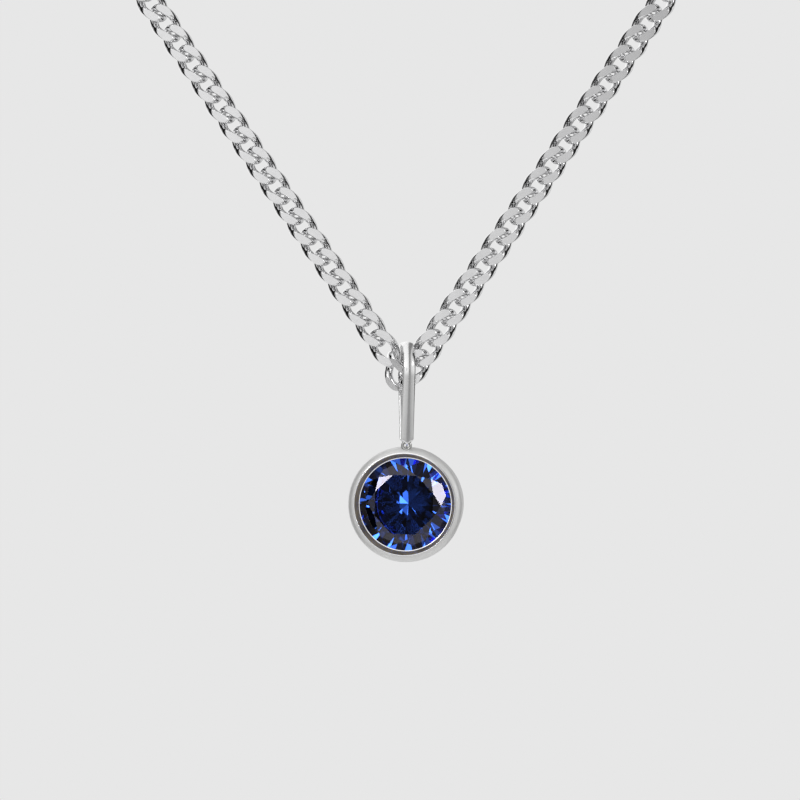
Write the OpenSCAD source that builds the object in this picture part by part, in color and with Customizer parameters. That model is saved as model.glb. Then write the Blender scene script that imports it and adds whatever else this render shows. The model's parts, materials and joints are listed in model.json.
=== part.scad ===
// Fine pendant necklace, worn position: a bezel-set round stone on a plain bail,
// a flat curb chain that falls in a V in front, runs round the neck and closes with a lobster clasp.
// +Z is up, the front faces -Y. The origin is midway between the two points where the
// chain leaves the neck and starts to hang.

/* [Stone] */
// Diameter of the round stone
stone_d = 6; // [5.6:0.1:6.2]
// Width of the table between opposite edges
table_w = 3.66; // [3.2:0.02:3.9]
// Slope of the main crown facets
crown_angle = 35; // [30:1:38]
// Slope of the main pavilion facets
pavilion_angle = 41; // [39:0.5:42]
// Thickness of the girdle
girdle_t = 0.16; // [0.1:0.02:0.24]

/* [Setting] */
// Outer diameter of the bezel
bezel_d = 7.24; // [7.1:0.02:7.6]
// Front to back depth of the bezel
bezel_depth = 3.4; // [3.3:0.05:3.8]
// Diameter of the thin bright crest of the rim
crest_d = 6.4; // [6.3:0.02:6.5]
// Diameter of the opening over the stone
opening_d = 5.78; // [5.6:0.02:5.9]
// Depth of the tapered wall between crest and stone
lip_depth = 0.44; // [0.36:0.02:0.5]
// Diameter of the light hole in the back
back_hole_d = 4.2; // [3.4:0.1:4.4]
// Turn of the pendant about the vertical
pendant_turn = -8.5; // [-12:0.5:0]
// Sideways lean of the pendant on its loop
pendant_lean = 1.9; // [0:0.1:3]

/* [Bail] */
// Height of the bail
bail_h = 6.62; // [6.4:0.02:7]
// Front to back depth of the bail
bail_depth = 3.4; // [3.4:0.05:3.6]
// Width of the bail band
bail_w = 0.78; // [0.6:0.02:0.9]
// Thickness of the bail band at its top
bail_t = 0.42; // [0.36:0.02:0.46]
// Diameter of the round wire at the bottom of the bail
bail_wire_d = 0.22; // [0.2:0.01:0.23]
// Turn of the bail about the vertical
bail_turn = 6.2; // [4:0.2:8]
// Sideways place of the bail from the point of the V
bail_shift = 0.03; // [0:0.01:0.05]
// Hole diameter of the soldered loop
loop_hole_d = 0.3; // [0.29:0.01:0.32]
// Wire diameter of the soldered loop
loop_wire_d = 0.19; // [0.17:0.01:0.2]

/* [Chain] */
// Distance from one link to the next
link_pitch = 1.53; // [1.5:0.01:1.56]
// Outer width of a link
link_w = 1.78; // [1.74:0.01:1.82]
// Outer length of a link
link_l = 2.74; // [2.7:0.01:2.8]
// Width of the filed wire, seen from the front
link_wire_w = 0.53; // [0.5:0.01:0.54]
// Thickness of the filed chain
link_t = 0.94; // [0.9:0.02:1]
// Diameter of the wire in the four round links at the point of the V
wire_d = 0.5; // [0.46:0.01:0.5]

/* [Drape] */
// Lean of each hanging strand from the vertical
strand_lean = 34.05; // [33:0.05:35]
// Links in each hanging strand
strand_links = 62; // [62]
// Distance from the point of the V to the first link centre
first_link = 0.885; // [0.88:0.005:0.9]
// Depth of the neck from the front plane to the nape
neck_depth = 82; // [78:1:90]
// Height of the nape above the origin
nape_h = 26; // [18:1:30]

/* [Clasp] */
// Inner radius of the clasp hook
hook_inner_r = 1.5; // [1.5:0.02:1.56]
// Outer radius of the clasp hook
hook_outer_r = 2.4; // [2.3:0.02:2.5]
// Thickness of the clasp body
clasp_t = 1.5; // [1.4:0.05:1.7]
// Thickness of the hook
hook_t = 0.8; // [0.7:0.05:0.8]
// Wire diameter of the jump ring
jump_wire_d = 0.44; // [0.4:0.02:0.46]
// Wire diameter of the end ring
end_wire_d = 0.52; // [0.48:0.02:0.54]

/* [Hidden] */
$fn = 48;
left = -1;
right = 1;

// Strands: link k sits strand_at(k) above the point of the V, measured along the strand
function strand_at(k) = first_link + k * link_pitch;
strand_len = strand_at(strand_links - 0.5);
point_z = -strand_len * cos(strand_lean);
// First link of each of the seven groups of a strand, from the top group down
group_first = [45, 31, 20, 12, 6, 2, 1];
group_end = [62, 45, 31, 20, 12, 6, 2];

// The left centre link is turned through the right one, which leans a little to make room
fold_turn = 47.3;
fold_axis = [-0.668, -0.29, -0.389];
fold_shift = [-0.094, 0.137, -0.066];
lean_turn = 4.1;
lean_axis = [-0.04, 0.051, -0.03];
lean_shift = [0.022, 0.003, 0.025];
link_round_rise = 0.35;
link_round_straight = 0.39;

// Bail, measured from the point of the V
bail_top_z = point_z + 2.43;
bail_bottom_z = bail_top_z - bail_h;
bail_top_r = bail_depth / 2;
bail_bottom_r = 0.5;
bail_top_centre_z = bail_top_z - bail_top_r;
bail_bottom_centre_z = bail_bottom_z + bail_bottom_r;
bail_taper_h = 0.3;
flank_inset = 0.01;
loop_z = bail_bottom_z + bail_wire_d / 2;
loop_bend_r = (loop_hole_d + loop_wire_d) / 2;

// Setting, in its own frame: +Z of the frame is the way the stone faces
bezel_r = bezel_d / 2;
shoulder_r = 0.5;
back_round_r = 0.7;
back_r = 3.4;
crest_r = crest_d / 2;
loop_lift = 0.07;
loop_depth = 0.15;
girdle_gap = 0.015;
stone_r = stone_d / 2;
girdle_depth = lip_depth + (stone_r - opening_d / 2) * tan(crown_angle) + girdle_t / 2 + 0.03;
crown_h = (stone_r - table_w / 2 / cos(22.5)) * tan(crown_angle);

// Clasp and its rings, in the clasp's own frame: +X runs to the hook
clasp_x = 0.54;
hook_x = 1.8;
eye_x = -4.6;
eye_hole_r = 0.55;
eye_r = 1.1;
eye_t = 0.6;
pivot_angle = 160;
hook_mid_r = (hook_inner_r + hook_outer_r) / 2;
nose_reach = 2.75;
pivot = [hook_x + hook_mid_r * cos(pivot_angle), hook_mid_r * sin(pivot_angle)];
rivet_r = 0.25;
rivet_gap = 0.01;
lever_gap = 0.03;
lever_t = 0.44;
slot_t = 0.8;
jump_r = 1.1;
jump_x = -5.95;
end_r = 1.5;
end_x = 4.456;
last_link_x = 6.94;

// Path of the chain from a strand's top to the nape, for the right side
neck_start = [strand_len * sin(strand_lean), 0, 0];
neck_lead = 40;
nape_lead = 40;
neck_points = [
    neck_start,
    neck_start + neck_lead * [sin(strand_lean), 0, cos(strand_lean)],
    [last_link_x + nape_lead, neck_depth, nape_h],
    [last_link_x, neck_depth, nape_h]
];
function bezier(p, t) =
    pow(1 - t, 3) * p[0] + 3 * pow(1 - t, 2) * t * p[1]
    + 3 * (1 - t) * t * t * p[2] + pow(t, 3) * p[3];
function bezier_dir(p, t) =
    unit(pow(1 - t, 2) * (p[1] - p[0]) + 2 * (1 - t) * t * (p[2] - p[1]) + t * t * (p[3] - p[2]));
function unit(v) = v / norm(v);
// Table of path length against path parameter, in even steps of the parameter
path_steps = 300;
function path_table(k, sum) =
    k > path_steps ? [] :
    let (step = k == 0 ? 0 : norm(bezier(neck_points, k / path_steps)
                                  - bezier(neck_points, (k - 1) / path_steps)))
    concat([[sum + step, k / path_steps]], path_table(k + 1, sum + step));
neck_table = path_table(0, 0);
neck_len = neck_table[path_steps][0];
neck_links = round((neck_len - link_pitch / 2) / link_pitch) + 1;
neck_pitch = (neck_len - link_pitch / 2) / (neck_links - 1);
function neck_param(k) = lookup(link_pitch / 2 + k * neck_pitch, neck_table);
front_share = floor(neck_links / 2);

// Puts a link at a point: along is its long way, out is the way its face looks
module placed(at, along, out) {
    across = cross(out, along);
    multmatrix([
        [along[0], across[0], out[0], at[0]],
        [along[1], across[1], out[1], at[1]],
        [along[2], across[2], out[2], at[2]]
    ]) children();
}

module stadium(r, straight) {
    for (s = [1, -1])
        translate([s * straight, 0]) circle(r = r);
    square([2 * straight, 2 * r], center = true);
}

// A filed curb link: opposite quarters ride high, the other two dip under the next link
module curb_link(hand) {
    straight = (link_l - link_w) / 2;
    neck = 0.1;
    gap = 0.2;
    reach = link_l;
    difference() {
        linear_extrude(height = link_t, center = true)
            difference() {
                stadium(link_w / 2, straight);
                stadium(link_w / 2 - link_wire_w, straight);
            }
        for (s = [1, -1], u = [1, -1])
            translate([s * (neck + reach / 2), u * (neck + reach / 2), -s * u * hand * (link_t - gap) / 2])
                cube([reach, reach, link_t], center = true);
    }
}

// An unfiled link of round wire: two tilted half rings and two slanted rods
module round_link(hand) {
    r = wire_d / 2;
    mid_w = link_w / 2 - r;
    bow_r = norm([mid_w, link_round_rise]);
    tilt = hand * atan2(link_round_rise, mid_w);
    rod_l = 2 * norm([link_round_straight, link_round_rise]);
    for (turn = [0, 180])
        rotate([0, 0, turn])
            translate([link_round_straight, 0, 0])
                rotate([tilt, 0, 0])
                    rotate([0, 0, -90])
                        rotate_extrude(angle = 180) translate([bow_r, 0]) circle(r = r);
    for (side = [1, -1])
        translate([-link_round_straight, side * mid_w, -side * hand * link_round_rise])
            rotate([0, 90 - atan2(side * hand * link_round_rise, link_round_straight), 0])
                cylinder(h = rod_l, r = r);
}

module on_strand(side, k) {
    along = [side * sin(strand_lean), 0, cos(strand_lean)];
    placed([0, 0, point_z] + strand_at(k) * along, along, [0, -1, 0]) children();
}

module on_neck(side, k) {
    t = neck_param(k);
    at = bezier(neck_points, t);
    dir = bezier_dir(neck_points, t);
    out = unit(cross(dir, [0, 0, 1]));
    placed([side * at[0], at[1], at[2]], [side * dir[0], dir[1], dir[2]], [side * out[0], out[1], out[2]])
        children();
}

module strand(side, group) {
    color("silver")
        for (k = [group_first[group - 1] : group_end[group - 1] - 1])
            on_strand(side, k) curb_link(side);
}

// The lowest link of each strand is left round, because a centre link crosses it
module lowest_link(side) {
    color("silver") on_strand(side, 1) round_link(side);
}

module neck_chain(side, from, to) {
    color("silver")
        for (k = [from : to])
            on_neck(side, k) curb_link(side);
}

module left_centre_link() {
    color("silver")
        on_strand(left, 0)
            translate(fold_shift)
                rotate(a = fold_turn, v = fold_axis)
                    round_link(left);
}

module right_centre_link() {
    color("silver")
        on_strand(right, 0)
            translate(lean_shift)
                rotate(a = lean_turn, v = lean_axis)
                    round_link(right);
}

// Solid round two parallel cylinders, one above the other, with flat flanks along both
module teardrop(top_r, bottom_r, width) {
    height = bail_top_centre_z - bail_bottom_centre_z;
    lean = asin((top_r - bottom_r) / height);
    side = [cos(lean), -sin(lean)];
    in_top = top_r - flank_inset;
    in_bottom = bottom_r - flank_inset;
    cylinder(h = width, r = top_r, center = true);
    translate([0, -height, 0]) cylinder(h = width, r = bottom_r, center = true);
    linear_extrude(height = width, center = true)
        polygon([
            in_top * side,
            [0, -height] + in_bottom * side,
            [-in_bottom * side[0], -height + in_bottom * side[1]],
            [-in_top * side[0], in_top * side[1]]
        ]);
}

module bail_band() {
    translate([0, 0, bail_top_centre_z])
        rotate([90, 0, 90])
            difference() {
                teardrop(bail_top_r, bail_bottom_r, bail_w);
                teardrop(bail_top_r - bail_t, bail_bottom_r - bail_wire_d, 2 * bail_w);
            }
}

// Seen from the front the band narrows to the wire at the bottom
module bail_front() {
    narrow = bail_wire_d / 2 * 0.7;
    wide_z = bail_bottom_z + bail_taper_h + bail_wire_d;
    rotate([90, 0, 0])
        linear_extrude(height = 2 * bail_depth, center = true)
            polygon([
                [-bail_w, bail_top_z + 1], [-bail_w, wide_z + bail_w], [-bail_w / 2, wide_z],
                [-narrow, bail_bottom_z + bail_wire_d], [-narrow, bail_bottom_z],
                [narrow, bail_bottom_z], [narrow, bail_bottom_z + bail_wire_d],
                [bail_w / 2, wide_z], [bail_w, wide_z + bail_w], [bail_w, bail_top_z + 1]
            ]);
}

module bail() {
    color("silver")
        translate([bail_shift, 0, 0]) rotate([0, 0, bail_turn])
            intersection() {
                bail_band();
                bail_front();
            }
}

// The loop's own frame: its ring lies in the XZ plane round the origin
module loop_place() {
    translate([bail_shift, 0, loop_z])
        rotate([0, 0, pendant_turn])
            rotate([0, pendant_lean, 0]) children();
}

// Turns the setting's own frame, which faces +Z, to face the front and hang under the loop
module pendant_place() {
    loop_place()
        translate([0, -loop_depth, -bezel_r - loop_lift])
            rotate([90, 0, 0]) children();
}

function arc(centre, r, from, to, steps) =
    [for (k = [0 : steps]) centre + r * [cos(from + (to - from) * k / steps), sin(from + (to - from) * k / steps)]];

// Outer shoulder, tapered body and rounded back, then light hole, bearing, girdle groove and tapered wall
module setting_solid() {
    shoulder_x = bezel_r - shoulder_r;
    seat_depth = girdle_depth + girdle_t / 2 + girdle_gap;
    hole_r = back_hole_d / 2;
    girdle_r = stone_r + girdle_gap;
    bearing_h = (girdle_r - hole_r) * tan(pavilion_angle);
    rotate_extrude($fn = 96)
        polygon(concat(
            arc([shoulder_x, -shoulder_r], shoulder_r, acos((crest_r - shoulder_x) / shoulder_r), 0, 7),
            arc([back_r - back_round_r, -bezel_depth + back_round_r], back_round_r, 0, -90, 7),
            [
                [hole_r, -bezel_depth],
                [hole_r, -seat_depth - bearing_h],
                [girdle_r, -seat_depth],
                [girdle_r, -girdle_depth + girdle_t / 2 + girdle_gap],
                [opening_d / 2, -lip_depth],
                [crest_r - 0.02, -0.02]
            ]
        ));
}

module bezel_setting() {
    color("silver") pendant_place() setting_solid();
}

function ring(count, r, z, turn) =
    [for (k = [0 : count - 1]) [r * cos(turn + 360 * k / count), r * sin(turn + 360 * k / count), z]];

// Round brilliant: table, stars, kites and upper facets over the girdle, lower facets and mains under it
module stone() {
    top = girdle_t / 2;
    corner_r = table_w / 2 / cos(22.5);
    tip_r = 0.388 * stone_d;
    deep_r = 0.11 * stone_d;
    tip_z = top + (stone_r - tip_r * cos(22.5)) * tan(crown_angle);
    deep_z = -top - (stone_r - deep_r * cos(22.5)) * tan(pavilion_angle);
    culet_z = -top - stone_r * tan(pavilion_angle);
    corners = 0;
    tips = 8;
    upper = 16;
    lower = 32;
    deep = 48;
    culet = 56;
    color("royalblue")
        pendant_place()
            translate([0, 0, -girdle_depth])
                polyhedron(
                    points = concat(
                        ring(8, corner_r, top + crown_h, 22.5),
                        ring(8, tip_r, tip_z, 0),
                        ring(16, stone_r, top, 0),
                        ring(16, stone_r, -top, 0),
                        ring(8, deep_r, deep_z, 0),
                        [[0, 0, culet_z]]
                    ),
                    faces = concat(
                        [[for (k = [7 : -1 : 0]) k]],
                        [for (k = [0 : 7]) [tips + k, corners + (k + 7) % 8, corners + k]],
                        [for (k = [0 : 7]) [corners + k, tips + (k + 1) % 8, upper + 2 * k + 1]],
                        [for (k = [0 : 7]) [corners + k, upper + 2 * k + 1, tips + k]],
                        [for (k = [0 : 7]) [tips + k, upper + 2 * k, upper + (2 * k + 15) % 16]],
                        [for (k = [0 : 7]) [tips + k, upper + 2 * k + 1, upper + 2 * k]],
                        [for (k = [0 : 15]) [upper + k, upper + (k + 1) % 16, lower + (k + 1) % 16, lower + k]],
                        [for (k = [0 : 7]) [deep + k, lower + (2 * k + 15) % 16, lower + 2 * k]],
                        [for (k = [0 : 7]) [deep + k, lower + 2 * k, lower + 2 * k + 1]],
                        [for (k = [0 : 7]) [culet, deep + k, lower + 2 * k + 1]],
                        [for (k = [0 : 7]) [culet, lower + 2 * k + 1, deep + (k + 1) % 8]]
                    )
                );
}

module pendant_loop() {
    color("silver")
        difference() {
            loop_place()
                rotate([90, 0, 0])
                    rotate_extrude() translate([loop_bend_r, 0]) circle(d = loop_wire_d);
            pendant_place() setting_solid();
        }
}

// The clasp lies flat against the nape: its own X runs along the chain and its own Y points up
module clasp_place() {
    translate([clasp_x, neck_depth, nape_h]) rotate([90, 0, 0]) children();
}

module plate(t) {
    linear_extrude(height = t, center = true) children();
}

module disc_at(centre, r, t) {
    translate([centre[0], centre[1], 0]) cylinder(h = t, r = r, center = true);
}

module clasp_body() {
    base = [[eye_x, -0.5], [-2.6, -1.05], [-0.4, -1.35], [0.3, -1.2], [0.45, 0.3], [0.3, 1.15],
            [-0.5, 1.1], [-2.6, 0.7], [eye_x, 0.5]];
    color("silver")
        clasp_place()
            difference() {
                union() {
                    // Hook, open at the top within the sweep of the lever's tip
                    difference() {
                        disc_at([hook_x, 0], hook_outer_r, hook_t);
                        disc_at([hook_x, 0], hook_inner_r, 2 * hook_t);
                        intersection() {
                            disc_at(pivot, nose_reach, 2 * hook_t);
                            translate([-3, 0.2, -hook_t]) cube([6, 4, 2 * hook_t]);
                        }
                    }
                    difference() {
                        plate(clasp_t) polygon(base);
                        disc_at([eye_x, 0], eye_r + 0.35, 2 * clasp_t);
                        disc_at([hook_x, 0], hook_inner_r, 2 * clasp_t);
                    }
                    difference() {
                        union() {
                            disc_at([eye_x, 0], eye_r, eye_t);
                            translate([eye_x, -0.5, -eye_t / 2]) cube([1.6, 1, eye_t]);
                        }
                        disc_at([eye_x, 0], eye_hole_r, 2 * eye_t);
                    }
                }
                // Slot for the lever and its spring, open at the top and towards the hook
                disc_at(pivot, 0.62, slot_t);
                translate([pivot[0] - 1.6, pivot[1] - 0.3, -slot_t / 2]) cube([3.2, 2, slot_t]);
                disc_at(pivot, rivet_r + rivet_gap, 2 * clasp_t);
            }
}

module clasp_lever() {
    tab = pivot + [-1.15, 0.95];
    color("gainsboro")
        clasp_place()
            translate([0, 0, -lever_t / 4])
                difference() {
                    union() {
                        disc_at(pivot, 0.52, lever_t);
                        disc_at(tab, 0.3, lever_t);
                        plate(lever_t)
                            polygon([
                                tab + [-0.2, -0.2], tab + [0.14, 0.25],
                                pivot + [0.25, 0.44], pivot + [-0.2, -0.1]
                            ]);
                        // Gate that closes the hook
                        intersection() {
                            difference() {
                                disc_at([hook_x, 0], hook_outer_r - 0.15, lever_t);
                                disc_at([hook_x, 0], hook_inner_r + 0.05, 2 * lever_t);
                            }
                            disc_at(pivot, nose_reach - 0.04, 2 * lever_t);
                            translate([pivot[0] + 0.1, pivot[1], -lever_t]) cube([4, 4, 2 * lever_t]);
                        }
                    }
                    disc_at(pivot, rivet_r + lever_gap, 2 * clasp_t);
                }
}

module clasp_rivet() {
    color("silver")
        clasp_place()
            translate([pivot[0], pivot[1], -clasp_t / 2 - 0.05]) cylinder(h = clasp_t + 0.1, r = rivet_r);
}

// One and a half turns of fine wire beside the lever, with a leg that bears on the body
module clasp_spring() {
    wire_r = 0.06;
    coil_r = rivet_r + rivet_gap + wire_r + 0.02;
    color("dimgray")
        clasp_place()
            translate([pivot[0], pivot[1], slot_t / 2 - wire_r - 0.03]) {
                rotate_extrude() translate([coil_r, 0]) circle(r = wire_r);
                translate([coil_r, 0, 0]) rotate([90, 0, 0]) cylinder(h = 0.4, r = wire_r * 0.9);
            }
}

module ring_at(x, bend_r, wire_r) {
    translate([clasp_x + x, neck_depth, nape_h])
        rotate_extrude($fn = 64) translate([bend_r, 0]) circle(r = wire_r);
}

module clasp_jump_ring() {
    color("silver") ring_at(jump_x, jump_r, jump_wire_d / 2);
}

module end_ring() {
    color("silver") ring_at(end_x, end_r, end_wire_d / 2);
}

bezel_setting();
stone();
pendant_loop();
bail();
left_centre_link();
right_centre_link();
strand(left, 1);  // left_strand_1
strand(left, 2);  // left_strand_2
strand(left, 3);  // left_strand_3
strand(left, 4);  // left_strand_4
strand(left, 5);  // left_strand_5
strand(left, 6);  // left_strand_6
lowest_link(left);  // left_strand_7
strand(right, 1);  // right_strand_1
strand(right, 2);  // right_strand_2
strand(right, 3);  // right_strand_3
strand(right, 4);  // right_strand_4
strand(right, 5);  // right_strand_5
strand(right, 6);  // right_strand_6
lowest_link(right);  // right_strand_7
neck_chain(left, 0, front_share - 1);  // left_neck_chain_front
neck_chain(left, front_share, neck_links - 1);  // left_neck_chain_back
neck_chain(right, 0, front_share - 1);  // right_neck_chain_front
neck_chain(right, front_share, neck_links - 1);  // right_neck_chain_back
clasp_body();
clasp_lever();
clasp_rivet();
clasp_spring();
clasp_jump_ring();
end_ring();
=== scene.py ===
import json
import math

import bmesh
import bpy
import numpy as np
from mathutils import Matrix, Vector

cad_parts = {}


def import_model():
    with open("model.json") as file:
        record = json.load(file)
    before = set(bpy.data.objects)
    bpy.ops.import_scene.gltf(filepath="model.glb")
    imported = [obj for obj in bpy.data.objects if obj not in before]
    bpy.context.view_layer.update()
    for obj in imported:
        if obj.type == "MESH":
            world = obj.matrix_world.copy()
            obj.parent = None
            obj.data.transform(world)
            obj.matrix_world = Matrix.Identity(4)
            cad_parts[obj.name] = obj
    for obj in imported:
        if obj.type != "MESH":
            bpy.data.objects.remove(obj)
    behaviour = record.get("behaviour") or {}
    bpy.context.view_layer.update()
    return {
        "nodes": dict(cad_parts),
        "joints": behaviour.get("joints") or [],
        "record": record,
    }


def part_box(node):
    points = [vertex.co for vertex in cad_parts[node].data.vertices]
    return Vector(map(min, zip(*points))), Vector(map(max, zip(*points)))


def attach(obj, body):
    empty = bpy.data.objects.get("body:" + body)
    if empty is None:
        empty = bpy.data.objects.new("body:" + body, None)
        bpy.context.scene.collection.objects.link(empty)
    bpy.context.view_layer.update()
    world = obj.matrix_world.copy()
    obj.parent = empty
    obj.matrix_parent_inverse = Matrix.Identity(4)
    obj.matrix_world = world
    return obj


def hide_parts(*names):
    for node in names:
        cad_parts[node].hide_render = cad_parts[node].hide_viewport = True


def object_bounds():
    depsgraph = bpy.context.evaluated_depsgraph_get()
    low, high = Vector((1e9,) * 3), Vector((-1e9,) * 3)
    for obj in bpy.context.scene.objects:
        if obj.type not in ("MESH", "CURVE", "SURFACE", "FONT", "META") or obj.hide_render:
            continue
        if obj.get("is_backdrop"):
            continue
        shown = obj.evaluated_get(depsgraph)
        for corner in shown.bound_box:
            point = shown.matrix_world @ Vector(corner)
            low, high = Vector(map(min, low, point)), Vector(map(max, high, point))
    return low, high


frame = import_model()
MM = 0.001
JOINTS = {j["name"]: j for j in frame["joints"]}
BODY_OF = {n: b for b, members in frame["record"]["behaviour"]["bodies"].items() for n in members}

# ---------------------------------------------------------------- measures of the necklace
LINK_R = 0.26 * MM          # wire of a curb link before filing
LINK_HALF_L = 1.10 * MM     # wire centre at the link's end
LINK_HALF_W = 0.62 * MM     # wire centre at the link's side
LINK_FLAT = 0.47 * MM       # half thickness of the filed chain
END_CLIMB = math.radians(55)    # slope of the wire as it passes the link's end
SIDE_CLIMB = math.radians(52)   # slope of the wire as it passes the link's side
LINK_SIDES = 20             # facets round the wire of a link
EDGE_ROUND = 0.012 * MM     # easing along the filed flats
EASED_ANGLE = math.radians(30)  # edges sharper than this are rounded over on the clasp
FLAT_AREA = 0.8 * MM * MM   # faces of the clasp larger than this are shaded flat

BEZEL_R = 3.62 * MM
BEZEL_BACK_R = 3.4 * MM
BEZEL_DEPTH = 3.4 * MM
CREST_R = 3.2 * MM
OPENING_R = 2.89 * MM
LIP_DEPTH = 0.44 * MM
SEAT_R = 3.015 * MM         # the stone's edge fits just inside this
BACK_HOLE_R = 2.1 * MM
LATHE_TURNS = 160
LATHE_SMOOTH = math.radians(32)
PENDANT_TURN = math.radians(-8.5)
PENDANT_LEAN = math.radians(1.9)
LOOP_LIFT = 0.07 * MM       # gap between the bezel's edge and the axis it swings on
LOOP_DEPTH = 0.15 * MM      # the crest stands this far in front of that axis
BAIL_TURN = math.radians(6.2)
BAIL_W = 0.78 * MM
BAIL_T = 0.42 * MM
BAIL_WIRE = 0.20 * MM       # a little finer than the CAD wire, to keep off the setting as it swings
BAIL_FOOT_W = 0.7           # width of the wire at the foot, as a share of its thickness
BAIL_TOP_R = 1.7 * MM
BAIL_FOOT_R = 0.5 * MM
BAIL_TAPER = 0.42 * MM
BAND_EDGE = 34              # slope of the band's crown at its edges, degrees
POINT_BELOW_BAIL_TOP = 2.43 * MM


# ---------------------------------------------------------------- small helpers
def new_object(name, mesh, body, materials, replaced=()):
    obj = bpy.data.objects.new(name, mesh)
    bpy.context.scene.collection.objects.link(obj)
    for m in materials:
        mesh.materials.append(m)
    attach(obj, body)
    if replaced:
        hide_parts(*replaced)
    return obj


def mesh_from(name, verts, faces, smooth=True):
    mesh = bpy.data.meshes.new(name)
    mesh.from_pydata([tuple(v) for v in verts], [], faces)
    mesh.polygons.foreach_set("use_smooth", [smooth] * len(mesh.polygons))
    mesh.update()
    return mesh


def nodes_of(material):
    material.use_nodes = True
    tree = material.node_tree
    tree.nodes.clear()
    out = tree.nodes.new("ShaderNodeOutputMaterial")
    shader = tree.nodes.new("ShaderNodeBsdfPrincipled")
    tree.links.new(shader.outputs[0], out.inputs[0])
    return tree, shader


def noise(tree, coords, scale, detail=4.0, stretch=(1, 1, 1)):
    place = tree.nodes.new("ShaderNodeMapping")
    place.inputs["Scale"].default_value = stretch
    tree.links.new(coords, place.inputs["Vector"])
    tex = tree.nodes.new("ShaderNodeTexNoise")
    tex.inputs["Scale"].default_value = scale
    tex.inputs["Detail"].default_value = detail
    tree.links.new(place.outputs[0], tex.inputs["Vector"])
    return tex.outputs["Fac"]


def ramp(tree, source, stops):
    node = tree.nodes.new("ShaderNodeValToRGB")
    elements = node.color_ramp.elements
    while len(elements) < len(stops):
        elements.new(0.5)
    for e, (at, value) in zip(elements, stops):
        e.position = at
        e.color = (*value, 1.0) if isinstance(value, tuple) else (value, value, value, 1.0)
    tree.links.new(source, node.inputs["Fac"])
    return node.outputs["Color"]


def metal(name, colour, rough, bump=0.02, scale=900.0, stretch=(1, 1, 1), spread=0.05, metallic=1.0):
    """Polished or satin metal: faint cloudy tint, uneven polish and fine hairlines."""
    material = bpy.data.materials.new(name)
    tree, shader = nodes_of(material)
    coords = tree.nodes.new("ShaderNodeTexCoord").outputs["Object"]
    low = tuple(c * (1 - spread) for c in colour)
    tint = ramp(tree, noise(tree, coords, scale, 3.0), [(0.3, low), (0.7, colour)])
    tree.links.new(tint, shader.inputs["Base Color"])
    polish = ramp(tree, noise(tree, coords, 2.5 * scale, 5.0, stretch), [(0.25, rough[0]), (0.75, rough[1])])
    tree.links.new(polish, shader.inputs["Roughness"])
    lines = noise(tree, coords, 4 * scale, 6.0, stretch)
    relief = tree.nodes.new("ShaderNodeBump")
    relief.inputs["Strength"].default_value = bump
    relief.inputs["Distance"].default_value = 0.01 * MM
    tree.links.new(lines, relief.inputs["Height"])
    tree.links.new(relief.outputs[0], shader.inputs["Normal"])
    shader.inputs["Metallic"].default_value = metallic
    return material


# ---------------------------------------------------------------- materials
SILVER = metal("polished_silver", (0.84, 0.84, 0.845), (0.05, 0.10), bump=0.004)
FILED = metal("filed_flats", (0.72, 0.72, 0.725), (0.14, 0.24), bump=0.02, scale=1500.0, stretch=(1, 1, 6))
BAND = metal("bail_polish", (0.88, 0.88, 0.88), (0.16, 0.24), bump=0.004, scale=500.0, stretch=(1, 1, 0.2))
# The small loop is the same silver, painted darker (0.50) as painted shade where it sits under the tip of the
# bail
SHADED_LOOP = metal("loop_wire_painted_shade", (0.50, 0.50, 0.49), (0.12, 0.2), bump=0.004)
SATIN = metal("satin_rim", (0.73, 0.73, 0.725), (0.44, 0.54), bump=0.10, scale=1200.0, stretch=(1, 1, 8),
              metallic=0.65)
# Crest and lip of the setting: the same polished silver painted near white, a painted highlight along these
# thin edges
CREST_PAINTED_HIGHLIGHT = metal("crest_painted_highlight", (0.98, 0.98, 0.98), (0.16, 0.24))
# Inner wall of the setting: the silver painted dark brown-olive, a painted reflection and shade in the wall
WALL_PAINTED_REFLECTION = metal("inner_wall_painted_reflection", (0.36, 0.31, 0.22), (0.4, 0.5), bump=0.08, scale=700.0, spread=0.65, metallic=0.35)
CLASP = metal("clasp_polish", (0.54, 0.54, 0.545), (0.10, 0.18), bump=0.01, scale=400.0)
SPRING = metal("spring_wire", (0.60, 0.60, 0.62), (0.2, 0.3))


def gem_material():
    """Clear blue stone with faint colour zoning."""
    material = bpy.data.materials.new("blue_stone")
    tree, shader = nodes_of(material)
    coords = tree.nodes.new("ShaderNodeTexCoord").outputs["Object"]
    zones = [(0.3, (0.035, 0.14, 0.88)), (0.7, (0.065, 0.21, 0.98))]
    zoned = ramp(tree, noise(tree, coords, 260.0, 2.0), zones)
    tree.links.new(zoned, shader.inputs["Base Color"])
    shader.inputs["Roughness"].default_value = 0.0
    shader.inputs["IOR"].default_value = 1.77
    shader.inputs["Transmission Weight"].default_value = 1.0
    shader.inputs["Specular Tint"].default_value = (0.78, 0.74, 0.84, 1.0)
    return material


GEM = gem_material()


# ---------------------------------------------------------------- curb links
def arc_points(p, t, q, count):
    """Points on the circular arc that leaves p along t and ends at q."""
    chord = q - p
    side = chord - chord.dot(t) * t
    if side.length < 1e-9:
        return [p + chord * (i / count) for i in range(count)]
    side.normalize()
    radius = chord.length_squared / (2 * chord.dot(side))
    centre = p + radius * side
    sweep = 2 * math.atan2(chord.dot(side), chord.dot(t))
    return [centre - radius * math.cos(sweep * i / count) * side + radius * math.sin(sweep * i / count) * t
            for i in range(count)]


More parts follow.
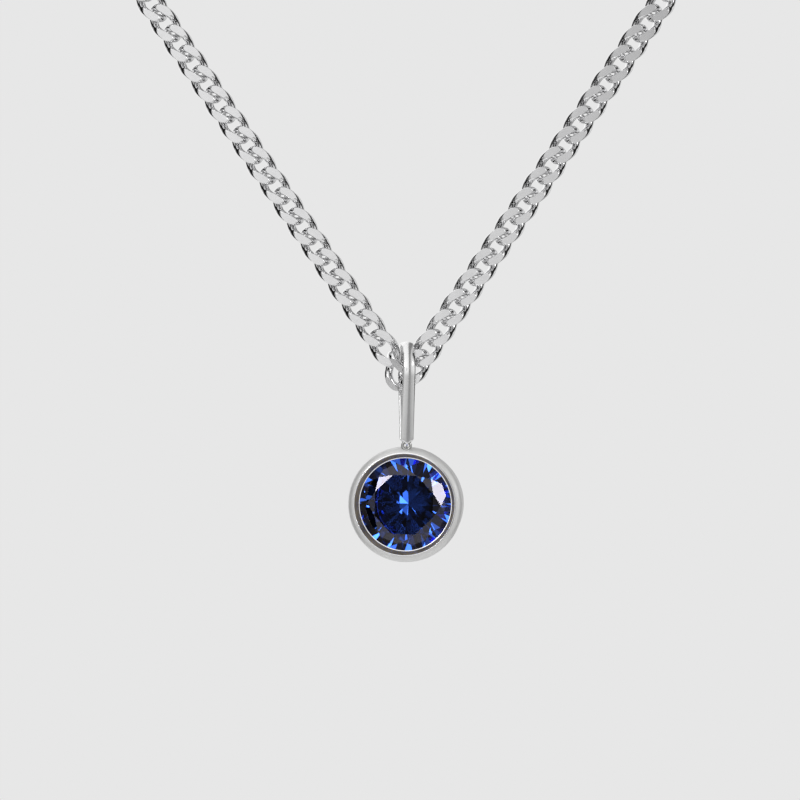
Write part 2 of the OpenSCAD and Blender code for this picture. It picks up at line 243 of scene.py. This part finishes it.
def link_path(hand, per_arc=9):
    """Closed centre line of a twisted curb link: two opposite quarters ride high, two dip."""
    p0 = Vector((LINK_HALF_L, 0, 0))
    t0 = Vector((0, math.cos(END_CLIMB), hand * math.sin(END_CLIMB)))
    p1 = Vector((0, LINK_HALF_W, 0))
    t1 = Vector((-math.cos(SIDE_CLIMB), 0, -hand * math.sin(SIDE_CLIMB)))
    v = p1 - p0
    t = t0 + t1
    k = 1 - t0.dot(t1)
    d = (-v.dot(t) + math.sqrt(v.dot(t) ** 2 + 2 * k * v.dot(v))) / (2 * k)
    m = (p0 + p1 + d * (t0 - t1)) / 2
    first = arc_points(p0, t0, m, per_arc)
    second = [q for q in reversed(arc_points(p1, -t1, m, per_arc))]
    quarter = first + [m] + second
    out = quarter[:-1]
    out += [Vector((-q.x, q.y, -q.z)) for q in reversed(quarter)][:-1]
    out += [Vector((-q.x, -q.y, q.z)) for q in quarter][:-1]
    out += [Vector((q.x, -q.y, -q.z)) for q in reversed(quarter)][:-1]
    return out


def link_arrays(hand, sides=LINK_SIDES):
    """One filed link: a round wire swept along the path, cut flat front and back, its edges eased."""
    path = link_path(hand)
    up = Vector((0, 0, 1))
    bm = bmesh.new()
    rings = []
    n = len(path)
    for i, p in enumerate(path):
        t = (path[(i + 1) % n] - path[i - 1]).normalized()
        side = up.cross(t).normalized()
        lift = t.cross(side)
        rings.append([bm.verts.new(p + LINK_R * (math.cos(a) * side + math.sin(a) * lift))
                      for a in (2 * math.pi * j / sides for j in range(sides))])
    for i in range(n):
        a, b = rings[i], rings[(i + 1) % n]
        for j in range(sides):
            bm.faces.new((a[j], a[(j + 1) % sides], b[(j + 1) % sides], b[j]))
    bm.normal_update()
    if bm.calc_volume(signed=True) < 0:
        bmesh.ops.reverse_faces(bm, faces=bm.faces[:])
    for f in bm.faces:
        f.smooth = True
    flats = []
    for s in (1, -1):
        everything = bm.verts[:] + bm.edges[:] + bm.faces[:]
        cut = bmesh.ops.bisect_plane(bm, geom=everything, plane_co=(0, 0, s * LINK_FLAT), plane_no=(0, 0, s),
                                     clear_outer=True, dist=1e-9)
        edges = [g for g in cut["geom_cut"] if isinstance(g, bmesh.types.BMEdge)]
        filled = bmesh.ops.edgeloop_fill(bm, edges=edges, mat_nr=1)
        flats += filled["faces"]
    bm.normal_update()
    for f in flats:
        f.smooth = False
        if f.normal.z * f.calc_center_median().z < 0:
            f.normal_flip()
    rim = list(dict.fromkeys(e for f in flats for e in f.edges))
    done = bmesh.ops.bevel(bm, geom=rim, offset=EDGE_ROUND, offset_type="OFFSET", segments=1, profile=0.5,
                           affect="EDGES", clamp_overlap=True, material=0)
    for f in done["faces"]:
        f.smooth = True
    bmesh.ops.triangulate(bm, faces=[f for f in bm.faces if len(f.verts) > 4])
    bm.verts.index_update()
    verts = np.array([v.co for v in bm.verts], float)
    faces = [[v.index for v in f.verts] for f in bm.faces]
    smooth = [f.smooth for f in bm.faces]
    mats = [f.material_index for f in bm.faces]
    bm.free()
    return verts, faces, smooth, mats


LINKS = {"left": link_arrays(-1), "right": link_arrays(1)}


def solids(node):
    """(centre, long axis, wide axis, thin axis) of every closed solid in a CAD node."""
    mesh = frame["nodes"][node].data
    mesh.calc_loop_triangles()
    co = np.zeros(len(mesh.vertices) * 3)
    mesh.vertices.foreach_get("co", co)
    co = co.reshape(-1, 3)
    tri = np.zeros(len(mesh.loop_triangles) * 3, int)
    mesh.loop_triangles.foreach_get("vertices", tri)
    tri = tri.reshape(-1, 3)
    _, same = np.unique(co.round(8), axis=0, return_inverse=True)
    same = same.ravel()
    tri = same[tri]
    label = np.arange(same.max() + 1)
    while True:
        low = label[tri].min(1)
        new = label.copy()
        for c in range(3):
            np.minimum.at(new, tri[:, c], low)
        new = new[new]
        if (new == label).all():
            break
        label = new
    points = np.zeros((same.max() + 1, 3))
    points[same] = co
    out = []
    for k in np.unique(label[tri[:, 0]]):
        v = points[tri[label[tri[:, 0]] == k]]
        area = np.linalg.norm(np.cross(v[:, 1] - v[:, 0], v[:, 2] - v[:, 0]), axis=1) / 2
        centre = (v.mean(1) * area[:, None]).sum(0) / area.sum()
        v = v - centre
        total = v.sum(1)
        spread = np.einsum("t,tij,tik->jk", area, v, v) + np.einsum("t,ti,tj->ij", area, total, total)
        _, axes = np.linalg.eigh(spread)
        thin, wide, long = axes[:, 0], axes[:, 1], axes[:, 2]
        if np.dot(np.cross(long, wide), thin) < 0:
            thin = -thin
        out.append((centre, long, wide, thin))
    return out


def chain(node):
    """Stands a twisted, filed link in the place of every CAD link of a node."""
    side = node.split("_")[0]
    verts, faces, smooth, mats = LINKS[side]
    all_verts, all_faces = [], []
    placed = solids(node)
    for centre, long, wide, thin in placed:
        base = len(all_verts) * len(verts)
        all_verts.append(verts @ np.array([long, wide, thin]) + centre)
        all_faces += [[base + i for i in f] for f in faces]
    mesh = bpy.data.meshes.new(node + "_links")
    mesh.from_pydata(np.concatenate(all_verts).tolist(), [], all_faces)
    mesh.polygons.foreach_set("use_smooth", smooth * len(placed))
    mesh.polygons.foreach_set("material_index", mats * len(placed))
    mesh.update()
    return new_object(node + "_links", mesh, BODY_OF[node], (SILVER, FILED), (node,))


CHAIN_NODES = [n for n in frame["nodes"] if "strand" in n or "chain" in n or "centre_link" in n]
for name in CHAIN_NODES:
    chain(name)


# ---------------------------------------------------------------- pendant
def pendant_matrix():
    """From a frame whose +Z is the way the stone faces, with its origin in the plane of the crest."""
    hung = Matrix.Translation(JOINTS["pendant_swing"]["pos_m"]) @ Matrix.Rotation(PENDANT_TURN, 4, "Z")
    face = Matrix.Translation((0, -LOOP_DEPTH, -BEZEL_R - LOOP_LIFT)) @ Matrix.Rotation(math.pi / 2, 4, "X")
    return hung @ Matrix.Rotation(PENDANT_LEAN, 4, "Y") @ face


def round_corner(centre, radius, start, end, steps):
    return [(centre[0] + radius * math.cos(math.radians(start + (end - start) * i / steps)),
             centre[1] + radius * math.sin(math.radians(start + (end - start) * i / steps)))
            for i in range(steps + 1)]


def lathe(name, zones, place, body, replaced, turns=LATHE_TURNS):
    """Revolves a closed outline about Z; each zone of the outline has its own material."""
    outline, mats = [], []
    materials = []
    for material, points in zones:
        if material not in materials:
            materials.append(material)
        outline += points
        mats += [materials.index(material)] * len(points)
    n = len(outline)
    verts = [(r * math.cos(a), r * math.sin(a), z)
             for a in (2 * math.pi * k / turns for k in range(turns)) for r, z in outline]
    faces, face_mats = [], []
    for k in range(turns):
        a, b = k * n, ((k + 1) % turns) * n
        for i in range(n):
            j = (i + 1) % n
            faces.append((a + i, a + j, b + j, b + i))
            face_mats.append(mats[i])
    mesh = mesh_from(name, verts, faces)
    mesh.polygons.foreach_set("material_index", face_mats)
    mesh.transform(place)
    bm = bmesh.new()
    bm.from_mesh(mesh)
    bm.normal_update()
    if bm.calc_volume(signed=True) < 0:
        bmesh.ops.reverse_faces(bm, faces=bm.faces[:])
    for e in bm.edges:
        e.smooth = len(e.link_faces) < 2 or e.calc_face_angle(0) < LATHE_SMOOTH
    bm.to_mesh(mesh)
    bm.free()
    return new_object(name, mesh, body, materials, replaced)


def bezel():
    """The setting: satin outside and back, crest and lip painted brighter as a painted highlight, and the wall
    between them painted dark brown-olive as a painted reflection and shade.
    """
    shoulder = 0.5 * MM
    back_r = 0.7 * MM
    outer = round_corner((BEZEL_R - shoulder, -shoulder), shoulder, 76, 0, 20)
    back = round_corner((BEZEL_BACK_R - back_r, back_r - BEZEL_DEPTH), back_r, 0, -90, 14)
    hole_edge = 0.08 * MM
    hole = round_corner((BACK_HOLE_R + hole_edge, hole_edge - BEZEL_DEPTH), hole_edge, -90, -180, 5)
    inside = [(BACK_HOLE_R, -1.5 * MM), (SEAT_R, -0.72 * MM), (SEAT_R, -0.54 * MM)]
    lip_w = 0.05 * MM
    lip = round_corner((OPENING_R + 0.01 * MM, -LIP_DEPTH), 0.01 * MM, 200, 100, 3)
    wall = [(OPENING_R + lip_w, -LIP_DEPTH + 0.012 * MM)]
    crest = round_corner((CREST_R - 0.01 * MM, -0.035 * MM), 0.034 * MM, 140, 60, 6)
    zones = [(SATIN, outer + back), (SILVER, hole + inside), (CREST_PAINTED_HIGHLIGHT, lip), (WALL_PAINTED_REFLECTION, wall), (CREST_PAINTED_HIGHLIGHT, crest)]
    return lathe("bezel_rim", zones, pendant_matrix(), "pendant", ("bezel_setting",))


bezel()


# ---------------------------------------------------------------- bail
def band_section(width, thick):
    """Half-round section, (across, outward) in units of the width and the thickness."""
    edge = math.radians(BAND_EDGE)
    sag = width / 2 / math.sin(edge) * (1 - math.cos(edge)) / thick
    crown = []
    for i in range(15):
        a = edge * (1 - i / 7)
        crown.append((0.97 * math.sin(a) / math.sin(edge), 1 - sag * (1 - math.cos(a)) / (1 - math.cos(edge))))
    shoulder = 1 - sag
    left_side = [(-1, shoulder - 0.07), (-1, 0.5 * shoulder), (-0.99, 0.18), (-0.94, 0.06), (-0.84, 0.01)]
    inner = [(-0.6, 0), (0, 0), (0.6, 0)]
    return crown + left_side + inner + [(-u, v) for u, v in reversed(left_side)]


def bail_path(top, bottom):
    """(y, z, outward y, outward z) of the band's outer face, once round: back leg, foot, front leg, top."""
    foot_r = BAIL_FOOT_R
    top_z, foot_z = top - BAIL_TOP_R, bottom + foot_r
    lean = math.asin((BAIL_TOP_R - foot_r) / (top_z - foot_z))
    path = []
    for i in range(49):
        a = math.pi + lean - (math.pi + 2 * lean) * i / 48
        path.append((BAIL_TOP_R * math.cos(a), top_z + BAIL_TOP_R * math.sin(a), math.cos(a), math.sin(a)))
    back = []
    for i in range(1, 48):
        f = i / 48
        r = BAIL_TOP_R + (foot_r - BAIL_TOP_R) * f
        z = top_z + (foot_z - top_z) * f
        back.append((r * math.cos(lean), z - r * math.sin(lean), math.cos(lean), -math.sin(lean)))
    path += back
    for i in range(33):
        a = -lean - (math.pi - 2 * lean) * i / 32
        path.append((foot_r * math.cos(a), foot_z + foot_r * math.sin(a), math.cos(a), math.sin(a)))
    path += [(-y, z, -ny, nz) for y, z, ny, nz in reversed(back)]
    return path, top_z, foot_z


def bail():
    """Half-round band swept round the long loop; it narrows to round wire at the bottom."""
    low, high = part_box("bail")
    middle = (low + high) / 2
    path, top_z, foot_z = bail_path(high.z, low.z)
    place = Matrix.Translation((middle.x, middle.y, 0)) @ Matrix.Rotation(BAIL_TURN, 4, "Z")
    section = band_section(BAIL_W, BAIL_T)
    verts, faces = [], []
    for y, z, ny, nz in path:
        grow = min(1.0, max(0.0, (z - low.z - BAIL_WIRE / 2) / BAIL_TAPER))
        grow = grow * grow * (3 - 2 * grow)
        foot_w = BAIL_FOOT_W * BAIL_WIRE
        width = foot_w + (BAIL_W - foot_w) * grow
        rise = min(1.0, max(0.0, (z - foot_z) / (top_z - foot_z)))
        thick = BAIL_WIRE + (BAIL_T - BAIL_WIRE) * rise
        for u, v in section:
            a = math.atan2(v - 0.5, u)
            across = grow * u + (1 - grow) * math.cos(a)
            out = grow * v + (1 - grow) * (0.5 + 0.5 * math.sin(a))
            depth = (out - 1) * thick
            verts.append(place @ Vector((across * width / 2, y + ny * depth, z + nz * depth)))
    n, m = len(path), len(section)
    for i in range(n):
        a, b = i * m, ((i + 1) % n) * m
        for j in range(m):
            k = (j + 1) % m
            faces.append((a + j, a + k, b + k, b + j))
    mesh = mesh_from("bail_band", verts, faces)
    bm = bmesh.new()
    bm.from_mesh(mesh)
    if bm.calc_volume(signed=True) < 0:
        bmesh.ops.reverse_faces(bm, faces=bm.faces[:])
    bm.to_mesh(mesh)
    bm.free()
    return new_object("bail_band", mesh, "bail", (BAND,), ("bail",))


bail()

# ---------------------------------------------------------------- clasp
def eased(node, name, material, offset):
    """The CAD shape with its facets merged and every hard edge rounded over, as after tumbling."""
    mesh = frame["nodes"][node].data.copy()
    mesh.name = name
    mesh.materials.clear()
    bm = bmesh.new()
    bm.from_mesh(mesh)
    bmesh.ops.remove_doubles(bm, verts=bm.verts[:], dist=1e-7)
    bmesh.ops.dissolve_limit(bm, angle_limit=math.radians(1.0), verts=bm.verts[:], edges=bm.edges[:])
    hard = [e for e in bm.edges if len(e.link_faces) == 2 and e.calc_face_angle(0) > EASED_ANGLE]
    bmesh.ops.bevel(bm, geom=hard, offset=offset, offset_type="OFFSET", segments=3, profile=0.5,
                    affect="EDGES", clamp_overlap=True, miter_outer="ARC")
    for f in bm.faces:
        f.smooth = f.calc_area() < FLAT_AREA
    for e in bm.edges:
        e.smooth = len(e.link_faces) < 2 or e.calc_face_angle(0) < EASED_ANGLE
    bmesh.ops.triangulate(bm, faces=[f for f in bm.faces if len(f.verts) > 4])
    bm.to_mesh(mesh)
    bm.free()
    obj = new_object(name, mesh, BODY_OF[node], (material,), (node,))
    flat = obj.modifiers.new("even_faces", "WEIGHTED_NORMAL")
    flat.keep_sharp = True
    flat.weight = 100
    return obj


EASED = {"clasp_body": ("clasp_shell", 0.12 * MM), "clasp_lever": ("clasp_gate", 0.06 * MM),
         "clasp_rivet": ("clasp_rivet_head", 0.05 * MM)}
for node, (name, offset) in EASED.items():
    eased(node, name, CLASP, offset)


# ---------------------------------------------------------------- CAD nodes that stay
for node, obj in frame["nodes"].items():
    if node in CHAIN_NODES or node in EASED or node in ("bezel_setting", "bail"):
        continue
    material = {"stone": GEM, "clasp_spring": SPRING, "pendant_loop": SHADED_LOOP}.get(node, SILVER)
    for s in obj.material_slots:
        s.material = material


# ---------------------------------------------------------------- stage, light, camera
# Brightness of the tent by angle to the left (-) or right (+) of the middle plane, in degrees
TENT = [(-90, 0.55), (-60, 0.50), (-42, 0.55), (-36, 1.15), (-8, 1.10), (3, 1.00), (8, 0.22), (22, 0.22),
        (28, 0.74), (60, 0.90), (90, 1.00)]
# Towards the floor the strips fade into one even tone
TENT_EVEN = [(0.20, 0.7), (0.38, 0.0)]
TENT_FLOOR = 0.55
# Small dark flag in front: bearing, elevation, angular reach and strength
FLAG = (-17.1, -2.2, 5, 0.95)
# Dark cloth round the middle of the tent, by depth from front (0) to back (1)
CLOTH = [(0.37, 0.0), (0.41, 0.98), (0.72, 0.98), (0.77, 0.0)]
# How far up and down the cloth reaches, from straight down (0) to straight up (1)
CLOTH_HEIGHT = [(0.06, 0.0), (0.12, 1.0), (0.86, 1.0), (0.92, 0.0)]
# Brightness by height, from straight down (0) to straight up (1)
TENT_HEIGHT = [(0.0, 0.35), (0.25, 0.72), (0.45, 1.0), (0.72, 1.0), (1.0, 0.92)]
# Bearing, elevation, angular reach and strength of the two round softboxes
SOFTBOXES = [(50.7, 19.4, 4, 12.0), (-36.6, 16.8, 4, 12.0)]
# What the stone sees: brightness by angle from the way it faces, broken into patches
STONE_CONE = [(180, 0.10), (110, 0.15), (85, 0.60), (50, 1.0), (36, 1.0), (30, 0.02), (0, 0.0)]
STONE_PATCH = 3.6
STONE_PATCHES = [(0.40, 0.05), (0.46, 0.20), (0.50, 0.6), (0.56, 1.0)]
STONE_LIGHT = 5.0
# Brightness of the flat backdrop that the camera sees
BACKDROP = 0.799
# How far the floor lies below the necklace, which hangs
FLOOR_DROP = 0.12


def math_node(tree, kind, first, second=None):
    node = tree.nodes.new("ShaderNodeMath")
    node.operation = kind
    for socket, value in zip(node.inputs, (first, second)):
        if value is None:
            continue
        if isinstance(value, (int, float)):
            socket.default_value = value
        else:
            tree.links.new(value, socket)
    return node.outputs[0]


def times(tree, first, second):
    node = tree.nodes.new("ShaderNodeMix")
    node.data_type = "RGBA"
    node.blend_type = "MULTIPLY"
    node.inputs[0].default_value = 1.0
    tree.links.new(first, node.inputs[6])
    tree.links.new(second, node.inputs[7])
    return node.outputs[2]


def softbox(tree, direction, azimuth, elevation, reach, strength):
    """Round soft light of a given angular reach, seen in one direction."""
    a, e = math.radians(azimuth), math.radians(elevation)
    aim = (math.sin(a) * math.cos(e), -math.cos(a) * math.cos(e), math.sin(e))
    dot = tree.nodes.new("ShaderNodeVectorMath")
    dot.operation = "DOT_PRODUCT"
    tree.links.new(direction, dot.inputs[0])
    dot.inputs[1].default_value = aim
    edge = math.cos(math.radians(reach))
    soft = tree.nodes.new("ShaderNodeMapRange")
    soft.inputs["From Min"].default_value = edge
    soft.inputs["From Max"].default_value = edge + 0.3 * (1 - edge)
    soft.inputs["To Max"].default_value = strength
    tree.links.new(dot.outputs["Value"], soft.inputs["Value"])
    return soft.outputs[0]


def world():
    """Each kind of ray sees its own surroundings: see the choices at the end of this function."""
    scene_world = bpy.data.worlds.new("tent")
    bpy.context.scene.world = scene_world
    scene_world.use_nodes = True
    tree = scene_world.node_tree
    tree.nodes.clear()
    direction = tree.nodes.new("ShaderNodeTexCoord").outputs["Generated"]
    split = tree.nodes.new("ShaderNodeSeparateXYZ")
    tree.links.new(direction, split.inputs[0])
    sideways = math_node(tree, "ARCSINE", split.outputs[0])
    unit = math_node(tree, "MULTIPLY_ADD", sideways, 1 / math.pi)
    unit.node.inputs[2].default_value = 0.5
    strips = ramp(tree, unit, [(0.5 + d / 180, v) for d, v in TENT])
    height = math_node(tree, "MULTIPLY_ADD", split.outputs[2], 0.5)
    height.node.inputs[2].default_value = 0.5
    even = tree.nodes.new("ShaderNodeMix")
    even.data_type = "RGBA"
    even.inputs[7].default_value = (TENT_FLOOR, TENT_FLOOR, TENT_FLOOR, 1)
    tree.links.new(ramp(tree, height, TENT_EVEN), even.inputs[0])
    tree.links.new(strips, even.inputs[6])
    tent = times(tree, even.outputs[2], ramp(tree, height, TENT_HEIGHT))
    tent = times(tree, tent, math_node(tree, "SUBTRACT", 1.0, softbox(tree, direction, *FLAG)))
    depth = math_node(tree, "MULTIPLY_ADD", split.outputs[1], 0.5)
    depth.node.inputs[2].default_value = 0.5
    cloth = times(tree, ramp(tree, depth, CLOTH), ramp(tree, height, CLOTH_HEIGHT))
    tent = times(tree, tent, math_node(tree, "SUBTRACT", 1.0, cloth))
    boxes = math_node(tree, "ADD", *[softbox(tree, direction, *box) for box in SOFTBOXES])
    lit = tree.nodes.new("ShaderNodeMix")
    lit.data_type = "RGBA"
    lit.blend_type = "ADD"
    lit.inputs[0].default_value = 1.0
    tree.links.new(tent, lit.inputs[6])
    tree.links.new(boxes, lit.inputs[7])

    ahead = tree.nodes.new("ShaderNodeVectorMath")
    ahead.operation = "DOT_PRODUCT"
    tree.links.new(direction, ahead.inputs[0])
    ahead.inputs[1].default_value = (math.sin(PENDANT_TURN), -math.cos(PENDANT_TURN), 0)
    facing = math_node(tree, "MULTIPLY_ADD", ahead.outputs["Value"], 0.5)
    facing.node.inputs[2].default_value = 0.5
    cone = ramp(tree, facing, [((1 + math.cos(math.radians(d))) / 2, v) for d, v in STONE_CONE])
    patches = ramp(tree, noise(tree, direction, STONE_PATCH, 1.0), STONE_PATCHES)
    stone_light = times(tree, cone, patches)

    def background(colour, strength=1.0):
        node = tree.nodes.new("ShaderNodeBackground")
        node.inputs["Strength"].default_value = strength
        if isinstance(colour, tuple):
            node.inputs["Color"].default_value = colour
        else:
            tree.links.new(colour, node.inputs["Color"])
        return node.outputs[0]

    # Rays out of the stone see the dark cone, diffuse rays plain white, the camera the flat backdrop,
    # and all others, which are mostly reflections in the metal, the tent
    path = tree.nodes.new("ShaderNodeLightPath")

    def choose(test, otherwise, chosen):
        mix = tree.nodes.new("ShaderNodeMixShader")
        tree.links.new(test, mix.inputs[0])
        tree.links.new(otherwise, mix.inputs[1])
        tree.links.new(chosen, mix.inputs[2])
        return mix.outputs[0]

    metal_side = choose(path.outputs["Is Transmission Ray"], background(lit.outputs[2]),
                        background(stone_light, STONE_LIGHT))
    soft_side = choose(path.outputs["Is Diffuse Ray"], metal_side, background((1.0, 1.0, 1.0, 1)))
    seen = choose(path.outputs["Is Camera Ray"], soft_side, background((BACKDROP, BACKDROP, BACKDROP, 1)))
    out = tree.nodes.new("ShaderNodeOutputWorld")
    tree.links.new(seen, out.inputs[0])


def floor(low):
    """Pale round floor, well below the lowest point of the necklace."""
    reach = 0.15
    steps = 64
    angles = [2 * math.pi * k / steps for k in range(steps)]
    verts = [(0, 0, 0)] + [(reach * math.cos(a), reach * math.sin(a), 0) for a in angles]
    faces = [(0, 1 + k, 1 + (k + 1) % steps) for k in range(steps)]
    mesh = mesh_from("floor", verts, faces, smooth=False)
    material = bpy.data.materials.new("pale_floor")
    tree, shader = nodes_of(material)
    coords = tree.nodes.new("ShaderNodeTexCoord").outputs["Object"]
    pale = ramp(tree, noise(tree, coords, 20.0), [(0.3, 0.78), (0.7, 0.80)])
    tree.links.new(pale, shader.inputs["Base Color"])
    shader.inputs["Roughness"].default_value = 0.9
    mesh.materials.append(material)
    obj = bpy.data.objects.new("floor", mesh)
    bpy.context.scene.collection.objects.link(obj)
    obj.location = (0, 0.03, low - FLOOR_DROP)
    obj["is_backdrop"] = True


def camera():
    """Long lens, square on to the V, with the point of the V a little above the middle."""
    lens, sensor, frame_w = 120.0, 36.0, 50 * MM
    low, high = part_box("bail")
    point_z = high.z - POINT_BELOW_BAIL_TOP
    data = bpy.data.cameras.new("camera")
    data.lens = lens
    data.sensor_width = sensor
    data.clip_start = 0.005
    data.clip_end = 10.0
    obj = bpy.data.objects.new("camera", data)
    bpy.context.scene.collection.objects.link(obj)
    obj.location = (-0.375 * MM, -frame_w * lens / sensor, point_z - 1.23 * MM)
    obj.rotation_euler = (math.pi / 2, 0, 0)
    bpy.context.scene.camera = obj


world()
floor(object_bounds()[0][2])
camera()
bpy.context.scene.view_settings.view_transform = "Standard"
